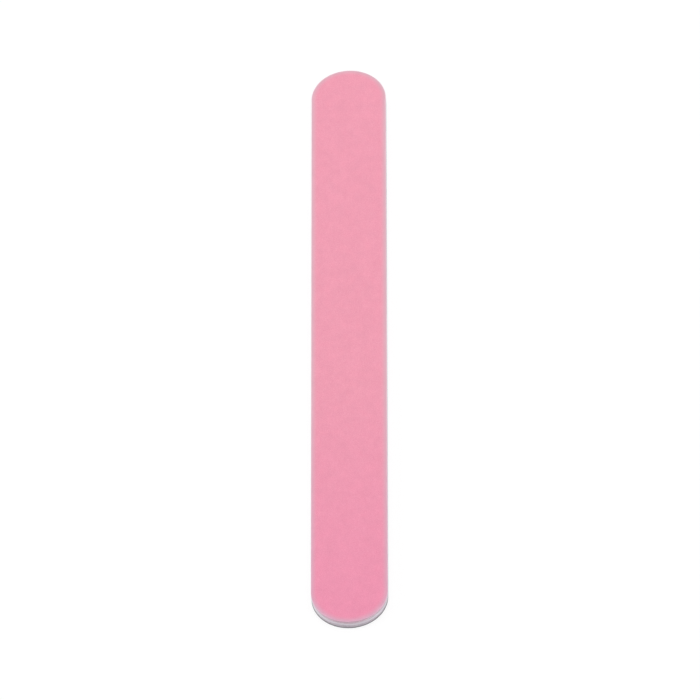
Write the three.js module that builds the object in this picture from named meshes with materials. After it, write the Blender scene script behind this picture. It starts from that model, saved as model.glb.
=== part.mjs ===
// Two-sided nail buffer board: a straight hand file with fully rounded ends.
//
// The board is a die-cut laminate. A stiff plastic core carries a thin foam pad on each side, and a sheet of
// paper-backed abrasive is stuck over each pad: fine pink on one face and coarser grey on the other. Films
// of transfer adhesive hold the sheets, pads and core together. Every layer is cut by one blade, so all of
// them share one outline.
//
// Millimetres, +Z up. The board lies on its grey face, long axis along Y, and the origin is at the middle
// of that face.

import * as THREE from "three";

// ---- Driving dimensions ----

const BOARD_LENGTH = 178; // tip to tip, the 7 inch blank
const BOARD_WIDTH = 19; // the 3/4 inch blank

const GRIT_COAT = 0.18; // mineral grains and the resin that bonds them
const PAPER_BACKING = 0.22; // latex-saturated paper under the grains
const ADHESIVE_FILM = 0.05; // transfer adhesive, with no carrier
const FOAM_PAD = 0.7; // closed-cell foam that lets the sheet follow a nail
const CORE_STRIP = 0.6; // polystyrene stiffener

const FOAM_SETBACK = 0.15; // the pad springs back from the blade, so its edge lies inside the outline
const ADHESIVE_SETBACK = 0.1; // the film draws back a little less

const ARC_SEGMENTS = 48; // flats on each rounded end, which keeps them within 0.01 mm of a true arc

// ---- Materials ----

function matte(color, roughness) {
  return new THREE.MeshStandardMaterial({ color, roughness, metalness: 0 });
}

const pinkGrit = matte(0xf09fb3, 0.9);
const pinkPaper = matte(0xecbbd1, 0.85);
const greyGrit = matte(0x8b8a90, 0.9);
const greyPaper = matte(0x908f94, 0.85);
const whiteFoam = matte(0xe3cdda, 0.95);
const whitePlastic = matte(0xe8dfe8, 0.35);
const clearAdhesive = matte(0xdfdadc, 0.3);

// ---- Outline ----

// The board's outline, moved inwards by setback: two parallel sides joined by half circles, whose centres
// stay where they are.
function boardOutline(setback) {
  const blankRadius = BOARD_WIDTH / 2;
  const arcCentre = BOARD_LENGTH / 2 - blankRadius;
  const radius = blankRadius - setback;
  const outline = new THREE.Shape();
  outline.absarc(0, arcCentre, radius, 0, Math.PI, false);
  outline.absarc(0, -arcCentre, radius, Math.PI, 2 * Math.PI, false);
  outline.closePath();
  return outline;
}

// ---- Layers ----

// One flat layer, standing on the XY plane.
function layer(name, thickness, setback, material) {
  const curveSegments = ARC_SEGMENTS / 2; // an arc is divided into twice this number
  const geometry = new THREE.ExtrudeGeometry(boardOutline(setback), {
    depth: thickness,
    bevelEnabled: false,
    curveSegments,
  });
  const mesh = new THREE.Mesh(geometry, material);
  mesh.name = name;
  mesh.userData.thickness = thickness;
  return mesh;
}

function gritCoat(name, material) {
  return layer(name, GRIT_COAT, 0, material);
}

function paperBacking(name, material) {
  return layer(name, PAPER_BACKING, 0, material);
}

function adhesiveFilm(name) {
  return layer(name, ADHESIVE_FILM, ADHESIVE_SETBACK, clearAdhesive);
}

function foamPad(name) {
  return layer(name, FOAM_PAD, FOAM_SETBACK, whiteFoam);
}

function coreStrip(name) {
  return layer(name, CORE_STRIP, 0, whitePlastic);
}

// ---- Assembly ----

// From the face that the board lies on, upwards.
const layersFromBelow = [
  gritCoat("grey_grit_coat", greyGrit),
  paperBacking("grey_paper_backing", greyPaper),
  adhesiveFilm("grey_sheet_adhesive"),
  foamPad("lower_foam_pad"),
  adhesiveFilm("lower_core_adhesive"),
  coreStrip("stiffener_core"),
  adhesiveFilm("upper_core_adhesive"),
  foamPad("upper_foam_pad"),
  adhesiveFilm("pink_sheet_adhesive"),
  paperBacking("pink_paper_backing", pinkPaper),
  gritCoat("pink_grit_coat", pinkGrit),
];

const board = new THREE.Group();
let height = 0;
for (const mesh of layersFromBelow) {
  mesh.position.z = height;
  height += mesh.userData.thickness;
  board.add(mesh);
}

export default board;
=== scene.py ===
# Two-sided nail buffer board, seen from above its near end.
#
# Each section below is one piece of the laminate or a group of like pieces, from the core outwards: core
# strip, adhesive films, foam pads, paper backings and grit coats. Metres throughout, in the frame of the
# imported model: +Z out of the pink face, +Y along the board to its far end.

import math
from collections import namedtuple

import bpy
import numpy as np
from mathutils import Matrix, Vector


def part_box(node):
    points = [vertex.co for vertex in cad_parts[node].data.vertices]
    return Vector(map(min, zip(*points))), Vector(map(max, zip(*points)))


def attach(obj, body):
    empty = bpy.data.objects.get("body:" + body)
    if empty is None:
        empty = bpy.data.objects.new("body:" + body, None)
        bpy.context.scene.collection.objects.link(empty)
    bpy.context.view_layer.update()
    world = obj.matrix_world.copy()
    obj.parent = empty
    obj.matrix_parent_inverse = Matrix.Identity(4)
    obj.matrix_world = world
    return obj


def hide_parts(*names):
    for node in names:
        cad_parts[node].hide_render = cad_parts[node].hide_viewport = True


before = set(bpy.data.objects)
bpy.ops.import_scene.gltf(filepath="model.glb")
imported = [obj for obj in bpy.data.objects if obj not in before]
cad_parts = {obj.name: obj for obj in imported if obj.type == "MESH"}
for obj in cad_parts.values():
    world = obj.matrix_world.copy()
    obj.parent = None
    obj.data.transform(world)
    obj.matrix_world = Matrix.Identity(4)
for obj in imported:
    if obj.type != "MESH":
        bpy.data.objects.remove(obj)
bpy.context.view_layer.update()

MM = 0.001

# ---- Core strip ----
# Extruded high-impact polystyrene, 0.6 mm thick, which keeps the board straight. The blade shears the top
# third of its edge clean and breaks the rest, so the edge has a faint step and fine upright knife lines.

core_low, core_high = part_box("stiffener_core")
half_width = core_high.x
arc_centre = core_high.y - half_width  # from the board's middle to the middle of each round end
top_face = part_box("pink_grit_coat")[1].z

CORE_SPACING = 0.3 * MM  # of the mesh round the outline
# The edge in section, from its foot up, as (setback in mm, share of the height).
CORE_WALL = ((0.03, 0.0), (0.0, 0.08), (0.0, 0.6), (0.025, 0.66), (0.025, 0.94), (0.05, 1.0))
KNIFE_LINE = 0.35 * MM
KNIFE_DEPTH = 0.012 * MM
CORE_SMOOTHEST = 0.28
CORE_ROUGHEST = 0.5
UPRIGHT = (1.0, 1.0, 0.08)  # draws a noise out along Z
NOISE_PEAK = 0.62  # a noise seldom goes higher, so a roughened edge seldom passes its outline
WALL_SLOPE = 0.5  # the most that a cut edge's normal points up or down

BEND_REACH = 0.9 * MM  # how far in from the edge the blade bends the sheets
BEND_DOWN = 0.08 * MM  # how far it presses the pink face's edge down
BEND_UP = 0.01 * MM  # how far the cutting mat presses the grey face's edge up
COVERED_RINGS = (1.2, 0.5)  # setbacks of the mesh rings on a face that is covered, mm


def stations(spacing):
    """Places round the outline, anticlockwise from the near tip: y on the middle line, and the way out."""
    quarter = round(half_width * math.pi / 2 / spacing)
    side = round(2 * arc_centre / spacing)
    near = [(-arc_centre, math.sin(a), -math.cos(a)) for a in np.linspace(0, math.pi / 2, quarter, False)]
    straight = [(y, 1.0, 0.0) for y in np.linspace(-arc_centre, arc_centre, side, False)]
    far = [(arc_centre, math.cos(a), math.sin(a)) for a in np.linspace(0, math.pi / 2, quarter, False)]
    right = near + straight + far
    left = [(y, -x, out_y) for y, x, out_y in reversed(right[1:])]
    return np.array(right + [(arc_centre, 0.0, 1.0)] + left)


def pressed(setback, z):
    """The height of a point of the laminate after cutting, which bends both faces towards the core."""
    near_edge = max(0.0, 1 - setback / BEND_REACH) ** 2
    if z > core_high.z:
        return z - BEND_DOWN * near_edge * (z - core_high.z) / (top_face - core_high.z)
    if z < core_low.z:
        return z + BEND_UP * near_edge * (core_low.z - z) / core_low.z
    return z


def rung_faces(count, first, upwards):
    """Faces that close a ring of vertices, each from one side of the board straight across to the other."""
    faces = []
    for i in range(count // 2):
        rung = [i, i + 1, count - i - 1, (count - i) % count]
        rung = list(dict.fromkeys(rung))
        faces.append([first + corner for corner in (rung if upwards else reversed(rung))])
    return faces


def layer(name, low, high, wall, spacing, bends=COVERED_RINGS):
    """A closed layer of the board. wall holds (setback in mm, share of the height) from its foot upwards."""
    rings = [(setback * MM, low) for setback in bends]
    rings += [(setback * MM, low + share * (high - low)) for setback, share in wall]
    rings += [(setback * MM, high) for setback in reversed(bends)]
    middle, out_x, out_y = stations(spacing).T
    count = len(middle)
    points = []
    for setback, z in rings:
        reach = half_width - setback
        height = np.full(count, pressed(setback, z))
        points.append(np.stack([out_x * reach, middle + out_y * reach, height], axis=1))
    faces = []
    for ring in range(len(rings) - 1):
        for i in range(count):
            here, there = ring * count + i, ring * count + (i + 1) % count
            faces.append((here, there, there + count, here + count))
    faces += rung_faces(count, 0, False)
    faces += rung_faces(count, (len(rings) - 1) * count, True)
    mesh = bpy.data.meshes.new(name)
    mesh.from_pydata(np.concatenate(points).tolist(), [], faces)
    piece = bpy.data.objects.new(name, mesh)
    bpy.context.scene.collection.objects.link(piece)
    return piece


def add(tree, kind, feeds=None, **settings):
    """Adds a node. feeds maps an input's name or number to a value, or to the output that it takes."""
    node = tree.nodes.new(kind)
    for name, value in settings.items():
        setattr(node, name, value)
    for key, value in (feeds or {}).items():
        if isinstance(value, bpy.types.NodeSocket):
            tree.links.new(value, node.inputs[key])
        else:
            node.inputs[key].default_value = value
    return node


def shape_tree(name, sizes):
    """A geometry node tree that takes a mesh and these named sizes, and its input node's outputs."""
    tree = bpy.data.node_groups.new(name, "GeometryNodeTree")
    tree.interface.new_socket("Geometry", in_out="INPUT", socket_type="NodeSocketGeometry")
    for size, kind in sizes.items():
        tree.interface.new_socket(size, in_out="INPUT", socket_type=kind)
    tree.interface.new_socket("Geometry", in_out="OUTPUT", socket_type="NodeSocketGeometry")
    return tree, tree.nodes.new("NodeGroupInput").outputs


def shaped(piece, tree, values):
    """Runs a geometry node tree on a piece and keeps the result as its plain mesh."""
    modifier = piece.modifiers.new(tree.name, "NODES")
    modifier.node_group = tree
    for item in tree.interface.items_tree:
        if item.in_out == "INPUT" and item.name in values:
            modifier[item.identifier] = values[item.name]
    bpy.context.view_layer.update()
    ready = piece.evaluated_get(bpy.context.evaluated_depsgraph_get())
    mesh = bpy.data.meshes.new_from_object(ready)
    piece.modifiers.clear()
    old, piece.data = piece.data, mesh
    bpy.data.meshes.remove(old)
    mesh.name = piece.name
    return piece


def on_the_wall(tree):
    """True for what faces sideways, as the cut edge does, and the normal."""
    normal = add(tree, "GeometryNodeInputNormal").outputs[0]
    upright = add(tree, "ShaderNodeSeparateXYZ", {0: normal}).outputs["Z"]
    slope = add(tree, "ShaderNodeMath", {0: upright}, operation="ABSOLUTE").outputs[0]
    wall = add(tree, "ShaderNodeMath", {0: slope, 1: WALL_SLOPE}, operation="LESS_THAN").outputs[0]
    return wall, normal


def from_middle_line(tree, place):
    """The nearest place on the board's middle line, the way out from it, and how far out that is."""
    split = add(tree, "ShaderNodeSeparateXYZ", {0: place}).outputs
    along = add(tree, "ShaderNodeClamp", {0: split["Y"], "Min": -arc_centre, "Max": arc_centre}).outputs[0]
    line = add(tree, "ShaderNodeCombineXYZ", {1: along, 2: split["Z"]}).outputs[0]
    out = add(tree, "ShaderNodeVectorMath", {0: place, 1: line}, operation="SUBTRACT").outputs[0]
    distance = add(tree, "ShaderNodeVectorMath", {0: out}, operation="LENGTH").outputs["Value"]
    return line, out, distance


def cut_off(tree, shape):
    """Draws whatever stands past the outline back to it, as if the blade had cut it off."""
    place = add(tree, "GeometryNodeInputPosition").outputs[0]
    line, out, distance = from_middle_line(tree, place)
    share = add(tree, "ShaderNodeMath", {0: half_width, 1: distance}, operation="DIVIDE").outputs[0]
    held = add(tree, "ShaderNodeMath", {0: share, 1: 1.0}, operation="MINIMUM").outputs[0]
    drawn = add(tree, "ShaderNodeVectorMath", {0: out, "Scale": held}, operation="SCALE").outputs[0]
    inside = add(tree, "ShaderNodeVectorMath", {0: line, 1: drawn}, operation="ADD").outputs[0]
    return add(tree, "GeometryNodeSetPosition", {"Geometry": shape, "Position": inside}).outputs[0]


def rough_cut_tree():
    """Moves the cut edge in and out by a noise that Stretch draws out."""
    tree, given = shape_tree(
        "rough_cut",
        {"Grain": "NodeSocketFloat", "Depth": "NodeSocketFloat", "Stretch": "NodeSocketVector"},
    )
    wall, normal = on_the_wall(tree)
    position = add(tree, "GeometryNodeInputPosition").outputs[0]
    drawn_out = add(tree, "ShaderNodeVectorMath", {0: position, 1: given["Stretch"]}, operation="MULTIPLY")
    per_metre = add(tree, "ShaderNodeMath", {0: 1.0, 1: given["Grain"]}, operation="DIVIDE")
    noise = add(
        tree, "ShaderNodeTexNoise",
        {"Vector": drawn_out.outputs[0], "Scale": per_metre.outputs[0], "Detail": 2.0},
    )
    inwards = add(tree, "ShaderNodeMath", {0: noise.outputs[0], 1: NOISE_PEAK}, operation="SUBTRACT")
    depth = add(tree, "ShaderNodeMath", {0: inwards.outputs[0], 1: given["Depth"]}, operation="MULTIPLY")
    offset = add(tree, "ShaderNodeVectorMath", {0: normal, "Scale": depth.outputs[0]}, operation="SCALE")
    moved = add(
        tree, "GeometryNodeSetPosition",
        {"Geometry": given["Geometry"], "Selection": wall, "Offset": offset.outputs[0]},
    )
    add(tree, "NodeGroupOutput", {"Geometry": cut_off(tree, moved.outputs[0])})
    return tree


rough_cut = rough_cut_tree()


def linear(code):
    """An sRGB hex colour as the linear colour that a shader takes."""
    shares = [int(code[i : i + 2], 16) / 255 for i in (0, 2, 4)]
    return [s / 12.92 if s <= 0.04045 else ((s + 0.055) / 1.055) ** 2.4 for s in shares] + [1.0]


def new_material(name, **values):
    """A material whose Principled shader has these values: it, its tree, shader and Object coordinates."""
    material = bpy.data.materials.new(name)
    material.use_nodes = True
    tree = material.node_tree
    shader = tree.nodes["Principled BSDF"]
    for socket, value in values.items():
        shader.inputs[socket].default_value = value
    place = add(tree, "ShaderNodeTexCoord").outputs["Object"]
    return material, tree, shader, place


def sheared_polystyrene():
    # Extruded HIPS, cut by a blade: milky white, satin, with upright knife lines that catch the light.
    material, tree, shader, place = new_material("sheared_polystyrene", IOR=1.59)
    lines = add(tree, "ShaderNodeMapping", {"Vector": place, "Scale": UPRIGHT}).outputs[0]
    noise = add(tree, "ShaderNodeTexNoise", {"Vector": lines, "Scale": 1 / KNIFE_LINE, "Detail": 3.0})
    height = noise.outputs[0]
    milk = add(
        tree, "ShaderNodeMix", {0: height, 6: linear("e2d9e2"), 7: linear("ede4ed")}, data_type="RGBA"
    )
    tree.links.new(milk.outputs[2], shader.inputs["Base Color"])
    satin = add(tree, "ShaderNodeMapRange", {0: height, 3: CORE_SMOOTHEST, 4: CORE_ROUGHEST})
    tree.links.new(satin.outputs[0], shader.inputs["Roughness"])
    bump = add(tree, "ShaderNodeBump", {"Height": height, "Strength": 0.5, "Distance": KNIFE_DEPTH})
    tree.links.new(bump.outputs[0], shader.inputs["Normal"])
    return material


def hand_over(piece, node, material):
    """Gives a finished piece its material, and lets it stand for a CAD node."""
    piece.data.materials.clear()
    piece.data.materials.append(material)
    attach(piece, "root")
    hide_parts(node)


core = layer("core_strip", core_low.z, core_high.z, CORE_WALL, CORE_SPACING)
core = shaped(core, rough_cut, {"Grain": KNIFE_LINE, "Depth": KNIFE_DEPTH, "Stretch": UPRIGHT})
hand_over(core, "stiffener_core", sheared_polystyrene())

# ---- Adhesive films ----
# Acrylic transfer adhesive, 0.05 mm thick with no carrier: two films hold the foam to the core, and two
# hold the sheets to the foam. Each draws back from the blade and leaves a fine soft bead at its edge.

FILM_SPACING = 0.6 * MM
FILM_WALL = ((0.12, 0.0), (0.1, 0.3), (0.1, 0.7), (0.12, 1.0))
FILM_STREAK = 1.6 * MM
FILM_SMOOTHEST = 0.15
FILM_ROUGHEST = 0.35


def transfer_adhesive():
    # A clear acrylic film seen at its edge: pale, wet-looking, a little uneven where it was coated.
    material, tree, shader, place = new_material("acrylic_transfer_adhesive", IOR=1.47)
    noise = add(tree, "ShaderNodeTexNoise", {"Vector": place, "Scale": 1 / FILM_STREAK, "Detail": 2.0})
    coat = noise.outputs[0]
    pale = add(tree, "ShaderNodeMix", {0: coat, 6: linear("d6d0d3"), 7: linear("e8e3e5")}, data_type="RGBA")
    tree.links.new(pale.outputs[2], shader.inputs["Base Color"])
    wet = add(tree, "ShaderNodeMapRange", {0: coat, 3: FILM_SMOOTHEST, 4: FILM_ROUGHEST})
    tree.links.new(wet.outputs[0], shader.inputs["Roughness"])
    return material


adhesive = transfer_adhesive()
for node, name in (
    ("lower_core_adhesive", "lower_core_film"),
    ("upper_core_adhesive", "upper_core_film"),
    ("grey_sheet_adhesive", "grey_sheet_film"),
    ("pink_sheet_adhesive", "pink_sheet_film"),
):
    film_low, film_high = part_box(node)
    film = layer(name, film_low.z, film_high.z, FILM_WALL, FILM_SPACING)
    hand_over(film, node, adhesive)

# ---- Foam pads ----
# Cross-linked closed-cell polyethylene foam, 0.7 mm thick, one pad on each side of the core. The blade
# squeezes it while cutting, so its edge springs back hollow, and the cells that it opens show as pits.

FOAM_SPACING = 0.062 * MM
FOAM_HOLLOW = 0.06 * MM  # how far the edge is drawn in at half height
FOAM_ROWS = 12  # of the mesh, from the foot of the edge to its top
FOAM_CELL = 0.22 * MM  # nearly twice the real cell, so that it shows
CELL_DEPTH = 0.08 * MM
PIT_FLOOR = 0.1  # in cell widths from a cell's middle, how far out the pit is at its deepest
PIT_RIM = 0.55  # and how far out it ends
WALL_CREST = 0.03  # in cell widths from where two cells meet, how far the wall is at its palest
WALL_FOOT = 0.22  # and how far it reaches
FOAM_RELIEF = 0.03 * MM


def hollow_wall():
    """The pad's edge in section: it starts at the CAD setback and is drawn in most at half height."""
    setback = (half_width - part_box("upper_foam_pad")[1].x) / MM
    shares = np.linspace(0, 1, FOAM_ROWS)
    return [(setback + 4 * FOAM_HOLLOW / MM * share * (1 - share), share) for share in shares]


def open_cells_tree():
    """Sinks a rounded pit into the cut edge at each cell, some cells deeper than others."""
    tree, given = shape_tree("open_cells", {"Cell": "NodeSocketFloat", "Depth": "NodeSocketFloat"})
    wall, normal = on_the_wall(tree)
    position = add(tree, "GeometryNodeInputPosition").outputs[0]
    per_metre = add(tree, "ShaderNodeMath", {0: 1.0, 1: given["Cell"]}, operation="DIVIDE").outputs[0]
    cells = add(tree, "ShaderNodeTexVoronoi", {"Vector": position, "Scale": per_metre})
    pit = add(
        tree, "ShaderNodeMapRange",
        {0: cells.outputs["Distance"], 1: PIT_FLOOR, 2: PIT_RIM, 3: -1.0, 4: 0.0},
        interpolation_type="SMOOTHSTEP",
    )
    chance = add(tree, "ShaderNodeSeparateXYZ", {0: cells.outputs["Color"]}).outputs["X"]
    opened = add(tree, "ShaderNodeMath", {0: pit.outputs[0], 1: chance}, operation="MULTIPLY").outputs[0]
    depth = add(tree, "ShaderNodeMath", {0: opened, 1: given["Depth"]}, operation="MULTIPLY")
    offset = add(tree, "ShaderNodeVectorMath", {0: normal, "Scale": depth.outputs[0]}, operation="SCALE")
    moved = add(
        tree, "GeometryNodeSetPosition",
        {"Geometry": given["Geometry"], "Selection": wall, "Offset": offset.outputs[0]},
    )
    rounded = add(tree, "GeometryNodeSetShadeSmooth", {"Geometry": moved.outputs[0], "Selection": wall})
    add(tree, "NodeGroupOutput", {"Geometry": rounded.outputs[0]})
    return tree


def closed_cell_foam(name, pit_shade_colour, wall_colour):
    # White polyethylene foam: chalky and dry, with thin pale walls between cells whose hollows are painted
    # darker, a painted shade in the pits.
    material, tree, shader, place = new_material(name, IOR=1.51, Roughness=0.88)
    cells = add(
        tree, "ShaderNodeTexVoronoi", {"Vector": place, "Scale": 1 / FOAM_CELL}, feature="DISTANCE_TO_EDGE"
    )
    hollow = add(
        tree, "ShaderNodeMapRange", {0: cells.outputs["Distance"], 1: WALL_CREST, 2: WALL_FOOT},
        interpolation_type="SMOOTHSTEP",
    ).outputs[0]
    # Painted shade: the middle of each cell, where the pit is, takes the darker colour.
    chalk = add(
        tree, "ShaderNodeMix", {0: hollow, 6: linear(wall_colour), 7: linear(pit_shade_colour)}, data_type="RGBA"
    )
    tree.links.new(chalk.outputs[2], shader.inputs["Base Color"])
    bump = add(
        tree, "ShaderNodeBump", {"Height": hollow, "Strength": 0.7, "Distance": FOAM_RELIEF}, invert=True
    )
    tree.links.new(bump.outputs[0], shader.inputs["Normal"])
    return material


open_cells = open_cells_tree()
# Per pad: the painted shade in the cells' pits, then the pale cell walls.
for node, name, pit_shade_colour, wall_colour in (
    ("lower_foam_pad", "lower_pad", "d0c2ce", "e6dbe5"),
    ("upper_foam_pad", "upper_pad", "e0bfcf", "f5d9e5"),  # painted pinker than the lower pad of the same foam, a painted pink cast in the shade under the pink sheet's edge
):
    pad_low, pad_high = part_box(node)
    pad = layer(name, pad_low.z, pad_high.z, hollow_wall(), FOAM_SPACING)
    pad = shaped(pad, open_cells, {"Cell": FOAM_CELL, "Depth": CELL_DEPTH})
    hand_over(pad, node, closed_cell_foam(name + "_foam", pit_shade_colour, wall_colour))

# ---- Paper backings ----
# Latex-saturated paper, 0.22 mm thick, which carries the grit. It is tinted right through, pale pink or
# grey, and the blade leaves a slightly torn edge with short fibre ends standing out of it.

PAPER_SPACING = 0.15 * MM
PAPER_WALL = ((0.06, 0.0), (0.05, 0.12), (0.05, 0.5), (0.05, 0.88), (0.06, 1.0))
PAPER_TEAR = 0.5 * MM
TEAR_DEPTH = 0.03 * MM
UNSTRETCHED = (1.0, 1.0, 1.0)
FIBRE_LENGTH = 0.1 * MM
FIBRE_RADIUS = 0.012 * MM  # a little more than a real fibre's, so that it shows
FIBRE_LEAN = 1.0  # radians, the most to either side
SHORTEST_FIBRE = 0.3  # of the longest
FIBRES_PER_MM2 = 14
FELT = 0.3 * MM  # the size of the clumps that the fibres lie in
FELT_RELIEF = 0.02 * MM


def fibre_ends(tree, wall, given):
    """Thin cones that stand on the cut edge and lean at random about the way out."""
    roots = add(
        tree, "GeometryNodeDistributePointsOnFaces",
        {"Mesh": given["Geometry"], "Selection": wall, "Density": given["Density"], "Seed": given["Seed"]},
    )
    fibre = add(
        tree, "GeometryNodeMeshCone",
        {"Vertices": 3, "Radius Bottom": given["Radius"], "Depth": given["Length"]},
    )
    lean = add(
        tree, "FunctionNodeRandomValue",
        {0: (-FIBRE_LEAN, -FIBRE_LEAN, 0.0), 1: (FIBRE_LEAN, FIBRE_LEAN, math.tau), "Seed": given["Seed"]},
        data_type="FLOAT_VECTOR",
    )
    turned = add(
        tree, "FunctionNodeRotateRotation",
        {0: roots.outputs["Rotation"], 1: lean.outputs[0]},
        rotation_space="LOCAL",
    )
    scale = add(
        tree, "FunctionNodeRandomValue",
        {2: SHORTEST_FIBRE, 3: 1.0, "Seed": given["Seed"]},
        data_type="FLOAT",
    )
    return add(
        tree, "GeometryNodeInstanceOnPoints",
        {"Points": roots.outputs[0], "Instance": fibre.outputs[0],
         "Rotation": turned.outputs[0], "Scale": scale.outputs[1]},
    ).outputs[0]


def torn_fibres_tree():
    """Adds fibre ends to the cut edge of the paper."""
    tree, given = shape_tree(
        "torn_fibres",
        {"Length": "NodeSocketFloat", "Radius": "NodeSocketFloat", "Density": "NodeSocketFloat",
         "Seed": "NodeSocketInt", "Material": "NodeSocketMaterial"},
    )
    wall, _ = on_the_wall(tree)
    real = add(tree, "GeometryNodeRealizeInstances", {0: fibre_ends(tree, wall, given)})
    both = add(tree, "GeometryNodeJoinGeometry")
    tree.links.new(real.outputs[0], both.inputs[0])
    tree.links.new(given["Geometry"], both.inputs[0])
    trimmed = cut_off(tree, both.outputs[0])
    dyed = add(tree, "GeometryNodeSetMaterial", {"Geometry": trimmed, "Material": given["Material"]})
    add(tree, "NodeGroupOutput", {"Geometry": dyed.outputs[0]})
    return tree


def saturated_paper(name, dark, light):
    # Dyed paper soaked in latex: dull and slightly mottled, with the felted look of short fibres.
    material, tree, shader, place = new_material(name, IOR=1.48, Roughness=0.82)
    noise = add(
        tree, "ShaderNodeTexNoise",
        {"Vector": place, "Scale": 1 / FELT, "Detail": 4.0, "Roughness": 0.7, "Distortion": 1.5},
    )
    felt = noise.outputs[0]
    dye = add(tree, "ShaderNodeMix", {0: felt, 6: linear(dark), 7: linear(light)}, data_type="RGBA")
    tree.links.new(dye.outputs[2], shader.inputs["Base Color"])
    bump = add(tree, "ShaderNodeBump", {"Height": felt, "Strength": 0.7, "Distance": FELT_RELIEF})
    tree.links.new(bump.outputs[0], shader.inputs["Normal"])
    return material


torn_fibres = torn_fibres_tree()
for node, name, slot, dark, light, seed in (
    ("grey_paper_backing", "grey_paper_sheet", "grey_paper", "858489", "9a999e", 3),
    ("pink_paper_backing", "pink_paper_sheet", "pink_paper", "e6afc7", "f2c6db", 4),
):
    paper_low, paper_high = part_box(node)
    stock = saturated_paper(name + "_stock", dark, light)
    paper = layer(name, paper_low.z, paper_high.z, PAPER_WALL, PAPER_SPACING)
    paper = shaped(paper, rough_cut, {"Grain": PAPER_TEAR, "Depth": TEAR_DEPTH, "Stretch": UNSTRETCHED})
    paper = shaped(
        paper, torn_fibres,
        {"Length": FIBRE_LENGTH, "Radius": FIBRE_RADIUS, "Density": FIBRES_PER_MM2 / MM**2, "Seed": seed,
         "Material": stock},
    )
    hand_over(paper, node, stock)

# ---- Grit coats ----
# The working faces: mineral grains stood in a bed of resin. The pink face is fine aluminium oxide under a
# soft pigmented size coat, and the grey face is coarser silicon carbide, whose facets glint. The grains are
# drawn three to four times their real size, so that they show.

GRIT_SPACING = 0.2 * MM
BENT_RINGS = (1.2, 0.8, 0.5, 0.25)  # setbacks of the mesh rings, mm, closer where the face bends
BED_WALL = ((0.02, 0.0), (0.01, 0.45), (0.02, 0.8), (0.05, 0.95), (0.08, 1.0))
COATED_SLOPE = 0.15  # grains stand where the bed's normal points out of the face by more than this
CHIP_TRIES = 4e7  # places tried per square metre, more than the spacing has room for
LEAST_GIRTH = 0.65  # of the fullest chip's, along each axis
FINE_GRAIN = 0.13 * MM  # the smallest grains, which fill the bed between the others
BED_RELIEF = 0.05 * MM
PIGMENT_DRIFT = 3 * MM  # the size of patches with a little more or less pigment
DRIFT_LEAST = 0.95
DRIFT_MOST = 1.05
RIM_WIDTH = 1.6 * MM  # the band round the face's edge whose colour is painted paler and greyer, as the light and shade of the edge that the blade bent
RIM_FULL = 0.1 * MM  # from the board's edge, how far in the rim's colour is at its strongest
RIM_FADE = 1.6  # above 1, so that the rim's colour gathers towards the edge
CUT_DEPTH = 0.12 * MM  # how far in the blade has broken the grains and bared their paler insides
DEEPENS_FROM = -15 * MM  # along the board, where the painted shade starts to deepen the colour towards the near end, which catches less sheen than the far end
DEEPENS_TO = -85 * MM
NO_TINT = (1.0, 1.0, 1.0, 1.0)

Grains = namedtuple("Grains", "size spacing height proud seed")
Edge = namedtuple("Edge", "rim_colour rim_strength cut_colour near_tint")


def standing_chips(tree, given):
    """Chips at random turns and girths, spaced out over the side of the bed that faces along Facing."""
    normal = add(tree, "GeometryNodeInputNormal").outputs[0]
    up = add(tree, "ShaderNodeSeparateXYZ", {0: normal}).outputs["Z"]
    outward = add(tree, "ShaderNodeMath", {0: up, 1: given["Facing"]}, operation="MULTIPLY").outputs[0]
    bare = add(tree, "ShaderNodeMath", {0: outward, 1: COATED_SLOPE}, operation="LESS_THAN").outputs[0]
    coated = add(
        tree, "GeometryNodeDeleteGeometry", {"Geometry": given["Geometry"], "Selection": bare}, domain="FACE"
    )
    places = add(
        tree, "GeometryNodeDistributePointsOnFaces",
        {"Mesh": coated.outputs[0], "Distance Min": given["Spacing"], "Density Max": CHIP_TRIES,
         "Seed": given["Seed"]},
        distribute_method="POISSON",
    )
    chip = add(tree, "GeometryNodeMeshUVSphere", {"Segments": 3, "Rings": 2, "Radius": given["Size"]})
    turn = add(
        tree, "FunctionNodeRandomValue",
        {0: (0.0, 0.0, 0.0), 1: (math.tau, math.tau, math.tau), "Seed": given["Seed"]},
        data_type="FLOAT_VECTOR",
    )
    girth = add(
        tree, "FunctionNodeRandomValue",
        {0: (LEAST_GIRTH, LEAST_GIRTH, LEAST_GIRTH), 1: (1.0, 1.0, 1.0), "Seed": given["Seed"]},
        data_type="FLOAT_VECTOR",
    )
    return add(
        tree, "GeometryNodeInstanceOnPoints",
        {"Points": places.outputs[0], "Instance": chip.outputs[0],
         "Rotation": turn.outputs[0], "Scale": girth.outputs[0]},
    ).outputs[0]


def levelled(tree, shape, given):
    """Brings whatever lies under Lowest or over Highest back to it."""
    place = add(tree, "GeometryNodeInputPosition").outputs[0]
    split = add(tree, "ShaderNodeSeparateXYZ", {0: place}).outputs
    held = add(tree, "ShaderNodeClamp", {0: split["Z"], "Min": given["Lowest"], "Max": given["Highest"]})
    level = add(tree, "ShaderNodeCombineXYZ", {0: split["X"], 1: split["Y"], 2: held.outputs[0]})
    return add(
        tree, "GeometryNodeSetPosition", {"Geometry": shape, "Position": level.outputs[0]}
    ).outputs[0]


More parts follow.
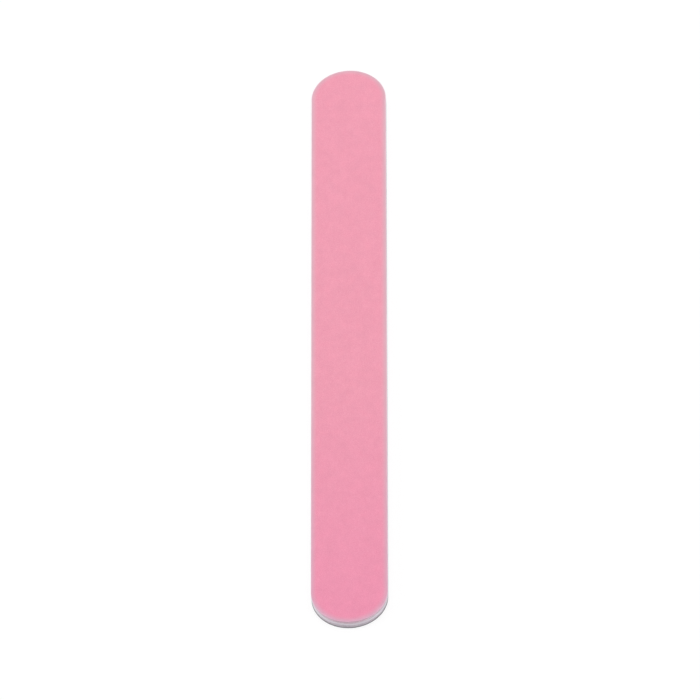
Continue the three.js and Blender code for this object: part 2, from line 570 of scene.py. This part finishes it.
def grain_cover_tree():
    """Covers one side of the bed with chips. Height is how much of its height each chip keeps."""
    tree, given = shape_tree(
        "grain_cover",
        {"Size": "NodeSocketFloat", "Spacing": "NodeSocketFloat", "Height": "NodeSocketFloat",
         "Facing": "NodeSocketFloat", "Lowest": "NodeSocketFloat", "Highest": "NodeSocketFloat",
         "Seed": "NodeSocketInt", "Material": "NodeSocketMaterial"},
    )
    root = add(tree, "GeometryNodeInputPosition").outputs[0]
    low_lying = add(tree, "ShaderNodeCombineXYZ", {0: 1.0, 1: 1.0, 2: given["Height"]}).outputs[0]
    bedded = add(
        tree, "GeometryNodeScaleInstances",
        {"Instances": standing_chips(tree, given), "Scale": low_lying, "Center": root, "Local Space": False},
    )
    tone = add(tree, "FunctionNodeRandomValue", {2: 0.0, 3: 1.0, "Seed": given["Seed"]}, data_type="FLOAT")
    toned = add(
        tree, "GeometryNodeStoreNamedAttribute",
        {"Geometry": bedded.outputs[0], "Name": "tone", "Value": tone.outputs[1]},
        data_type="FLOAT", domain="INSTANCE",
    )
    real = add(tree, "GeometryNodeRealizeInstances", {0: toned.outputs[0]})
    trimmed = cut_off(tree, levelled(tree, real.outputs[0], given))
    flat = add(tree, "GeometryNodeSetShadeSmooth", {"Geometry": trimmed, "Shade Smooth": False})
    coloured = add(
        tree, "GeometryNodeSetMaterial", {"Geometry": flat.outputs[0], "Material": given["Material"]}
    )
    add(tree, "NodeGroupOutput", {"Geometry": coloured.outputs[0]})
    return tree


def rim_share(tree, distance):
    """0 over the face and 1 at the board's edge, rising over the rim, where light and shade are painted."""
    rim = add(
        tree, "ShaderNodeMapRange", {0: distance, 1: half_width - RIM_WIDTH, 2: half_width - RIM_FULL}
    )
    return add(tree, "ShaderNodeMath", {0: rim.outputs[0], 1: RIM_FADE}, operation="POWER").outputs[0]


def coat_colour(tree, place, tone, dark, light, edge):
    """The coat's colour: by tone, drifting a little over the face, painted paler and greyer at the rim as
    light and shade, paler where it is cut, and painted deeper towards the near end as shade where the face
    catches less sheen.
    """
    plain = add(
        tree, "ShaderNodeMix", {0: tone, 6: linear(dark), 7: linear(light)}, data_type="RGBA"
    ).outputs[2]
    drift = add(tree, "ShaderNodeTexNoise", {"Vector": place, "Scale": 1 / PIGMENT_DRIFT, "Detail": 3.0})
    shade = add(tree, "ShaderNodeMapRange", {0: drift.outputs[0], 3: DRIFT_LEAST, 4: DRIFT_MOST}).outputs[0]
    face = add(tree, "ShaderNodeVectorMath", {0: plain, "Scale": shade}, operation="SCALE").outputs[0]
    distance = from_middle_line(tree, place)[2]
    # Painted light and shade: the rim takes its paler, greyer colour.
    rim = add(
        tree, "ShaderNodeMath", {0: rim_share(tree, distance), 1: edge.rim_strength}, operation="MULTIPLY"
    ).outputs[0]
    cut = add(
        tree, "ShaderNodeMapRange", {0: distance, 1: half_width - CUT_DEPTH, 2: half_width - CUT_DEPTH / 3}
    ).outputs[0]
    with_rim = add(
        tree, "ShaderNodeMix", {0: rim, 6: face, 7: linear(edge.rim_colour)}, data_type="RGBA"
    ).outputs[2]
    with_cut = add(
        tree, "ShaderNodeMix", {0: cut, 6: with_rim, 7: linear(edge.cut_colour)}, data_type="RGBA"
    ).outputs[2]
    # Painted shade: the colour deepens towards the near end, standing in for the sheen that lights the far
    # part of the face more.
    along = add(tree, "ShaderNodeSeparateXYZ", {0: place}).outputs["Y"]
    near = add(tree, "ShaderNodeMapRange", {0: along, 1: DEEPENS_FROM, 2: DEEPENS_TO}).outputs[0]
    tint = add(tree, "ShaderNodeMix", {0: near, 6: NO_TINT, 7: edge.near_tint}, data_type="RGBA").outputs[2]
    return add(tree, "ShaderNodeVectorMath", {0: with_cut, 1: tint}, operation="MULTIPLY").outputs[0]


def resin_bed(name, dark, light, roughness, edge):
    # Pigmented urea resin, packed with the finest grains: dull and pebbly, each grain with its own tone.
    material, tree, shader, place = new_material(name, IOR=1.54, Roughness=roughness)
    fine = add(tree, "ShaderNodeTexVoronoi", {"Vector": place, "Scale": 1 / FINE_GRAIN}).outputs
    tone = add(tree, "ShaderNodeSeparateXYZ", {0: fine["Color"]}).outputs["X"]
    tree.links.new(coat_colour(tree, place, tone, dark, light, edge), shader.inputs["Base Color"])
    bump = add(
        tree, "ShaderNodeBump", {"Height": fine["Distance"], "Strength": 0.7, "Distance": BED_RELIEF},
        invert=True,
    )
    tree.links.new(bump.outputs[0], shader.inputs["Normal"])
    return material


def mineral_chips(name, dark, light, roughness, ior, edge):
    # Crushed mineral under a thin size coat: each chip has its own tone, and flat faces that turn the light.
    material, tree, shader, place = new_material(name, IOR=ior, Roughness=roughness)
    tone = add(tree, "ShaderNodeAttribute", attribute_name="tone").outputs["Fac"]
    tree.links.new(coat_colour(tree, place, tone, dark, light, edge), shader.inputs["Base Color"])
    return material


grain_cover = grain_cover_tree()


def grit_coat(node, colour_name, facing, grains, bed, chips):
    """One coat, facing up (1) or down (-1): its resin bed, and the grains that stand proud of it."""
    low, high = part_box(node)
    bed_low = low.z if facing > 0 else low.z + grains.proud
    bed_high = high.z - grains.proud if facing > 0 else high.z
    wall = BED_WALL if facing > 0 else [(setback, 1 - share) for setback, share in reversed(BED_WALL)]
    bed_piece = layer(colour_name + "_resin_bed", bed_low, bed_high, wall, GRIT_SPACING, BENT_RINGS)
    chip_piece = bpy.data.objects.new(colour_name + "_grains", bed_piece.data.copy())
    bpy.context.scene.collection.objects.link(chip_piece)
    chip_piece = shaped(
        chip_piece, grain_cover,
        {"Size": grains.size, "Spacing": grains.spacing, "Height": grains.height, "Facing": facing,
         "Lowest": low.z, "Highest": high.z, "Seed": grains.seed, "Material": chips},
    )
    hand_over(bed_piece, node, bed)
    hand_over(chip_piece, node, chips)


# The first colour is the rim's painted light and shade; the last is the painted shade that deepens the face
# towards its near end.
pink_edge = Edge("debbc6", 0.9, "fbd0df", (1.0, 0.88, 0.99, 1.0))
pink_bed = resin_bed("pink_size_resin", "ed96ad", "f5a6bb", 0.75, pink_edge)
pink_chips = mineral_chips("pink_aluminium_oxide", "f09cb2", "f7aabe", 0.7, 1.6, pink_edge)
pink_grains = Grains(size=0.17 * MM, spacing=0.26 * MM, height=0.7, proud=0.12 * MM, seed=11)
grit_coat("pink_grit_coat", "pink", 1.0, pink_grains, pink_bed, pink_chips)

# The first colour is the rim's painted light and shade.
grey_edge = Edge("a5a4aa", 0.5, "adacb1", NO_TINT)
grey_bed = resin_bed("grey_size_resin", "747379", "95949a", 0.7, grey_edge)
grey_chips = mineral_chips("grey_silicon_carbide", "7d7c83", "a6a5ac", 0.35, 2.0, grey_edge)
grey_grains = Grains(size=0.2 * MM, spacing=0.3 * MM, height=0.6, proud=0.12 * MM, seed=12)
grit_coat("grey_grit_coat", "grey", -1.0, grey_grains, grey_bed, grey_chips)

# ---- Floor ----
# A plain white sheet. What the camera sees of it is mostly its own even white, so the background stays
# white, and the rest is lit, which keeps a faint shadow where the board lies.

FLOOR_HALF = 4.0
FLOOR_DROP = 0.01 * MM
SEEN_WHITE = 0.85  # the share of what the camera sees that is the sheet's own white
OWN_WHITE = 1.02
LIT_GREY = "cbcbcb"  # its colour for the light that it throws back on the board
WHITE = (1.0, 1.0, 1.0, 1.0)


def white_sheet():
    material = bpy.data.materials.new("white_sheet")
    material.use_nodes = True
    tree = material.node_tree
    tree.nodes.clear()
    path = add(tree, "ShaderNodeLightPath").outputs
    sharp = add(
        tree, "ShaderNodeMath", {0: path["Is Camera Ray"], 1: path["Is Glossy Ray"]}, operation="MAXIMUM"
    ).outputs[0]
    seen = add(
        tree, "ShaderNodeMath", {0: sharp, 1: path["Is Transmission Ray"]}, operation="MAXIMUM"
    ).outputs[0]
    lit = add(tree, "ShaderNodeBsdfDiffuse", {"Color": linear(LIT_GREY)})
    pure = add(tree, "ShaderNodeBsdfDiffuse", {"Color": WHITE})
    own = add(tree, "ShaderNodeEmission", {"Color": WHITE, "Strength": OWN_WHITE})
    shown = add(tree, "ShaderNodeMixShader", {0: SEEN_WHITE, 1: pure.outputs[0], 2: own.outputs[0]})
    mix = add(tree, "ShaderNodeMixShader", {0: seen, 1: lit.outputs[0], 2: shown.outputs[0]})
    add(tree, "ShaderNodeOutputMaterial", {"Surface": mix.outputs[0]})
    return material


floor_mesh = bpy.data.meshes.new("floor")
corners = [(x * FLOOR_HALF, y * FLOOR_HALF, -FLOOR_DROP) for x, y in ((-1, -1), (1, -1), (1, 1), (-1, 1))]
floor_mesh.from_pydata(corners, [], [(0, 1, 2, 3)])
floor_mesh.materials.append(white_sheet())
floor = bpy.data.objects.new("floor", floor_mesh)
bpy.context.scene.collection.objects.link(floor)

# ---- Light ----
# A white room lights the board evenly. A broad lamp stands high over it and a small one beyond its far
# end, and one lies low at each side, of which the left one is the stronger.

ROOM_LIGHT = 0.26
HIGH_LAMP = 1.24
FAR_LAMP = 0.4
LEFT_LAMP = 1.65
RIGHT_LAMP = 1.3


def white_room():
    world = bpy.data.worlds.new("white_room")
    world.use_nodes = True
    tree = world.node_tree
    tree.nodes.clear()
    path = add(tree, "ShaderNodeLightPath").outputs
    dim = add(tree, "ShaderNodeBackground", {"Color": WHITE, "Strength": ROOM_LIGHT}).outputs[0]
    full = add(tree, "ShaderNodeBackground", {"Color": WHITE, "Strength": 1.0}).outputs[0]
    mix = add(tree, "ShaderNodeMixShader", {0: path["Is Camera Ray"], 1: dim, 2: full})
    add(tree, "ShaderNodeOutputWorld", {"Surface": mix.outputs[0]})
    return world


def lamp(name, kind, place, power, **settings):
    """A lamp that faces the board's middle."""
    light = bpy.data.lights.new(name, kind)
    light.energy = power
    for setting, value in settings.items():
        setattr(light, setting, value)
    stand = bpy.data.objects.new(name, light)
    stand.location = place
    stand.rotation_euler = (-Vector(place)).to_track_quat("-Z", "Y").to_euler()
    bpy.context.scene.collection.objects.link(stand)


bpy.context.scene.world = white_room()
lamp("high_lamp", "SUN", (0.1, 0.25, 1.0), HIGH_LAMP, angle=math.radians(70))
lamp("far_lamp", "AREA", (0.0, 0.45, 0.4), FAR_LAMP, size=0.4)
lamp("left_lamp", "SUN", (-1.0, -0.09, 0.36), LEFT_LAMP, angle=math.radians(50))
lamp("right_lamp", "SUN", (0.93, -0.37, 0.36), RIGHT_LAMP, angle=math.radians(50))

# ---- Camera ----
# A long lens looks down on the board from its near end, a little to the right of it. It is turned about
# its line of sight, so that the board stands nearly upright in its view.

LENS = 568.4  # mm
DISTANCE = 2.773  # from the middle of the board to the lens
LEAN = math.radians(39.15)  # from straight above
SWING = math.radians(3.65)  # round to the right of the board's near end
ROLL = math.radians(4.78)  # about the line of sight
AIM_RIGHT = 0.19 * MM
AIM_UP = -1.545 * MM

camera_data = bpy.data.cameras.new("camera")
camera_data.lens = LENS
camera_data.clip_start = 0.1
camera_data.clip_end = 20.0
camera = bpy.data.objects.new("camera", camera_data)
view_turn = Matrix.Rotation(SWING, 3, "Z") @ Matrix.Rotation(LEAN, 3, "X") @ Matrix.Rotation(-ROLL, 3, "Z")
right, up, back = view_turn.col
board_middle = Vector((0.0, 0.0, top_face / 2))
spot = board_middle + back * DISTANCE + right * AIM_RIGHT + up * AIM_UP
camera.matrix_world = Matrix.Translation(spot) @ view_turn.to_4x4()
bpy.context.scene.collection.objects.link(camera)
bpy.context.scene.camera = camera
bpy.context.scene.view_settings.view_transform = "Standard"
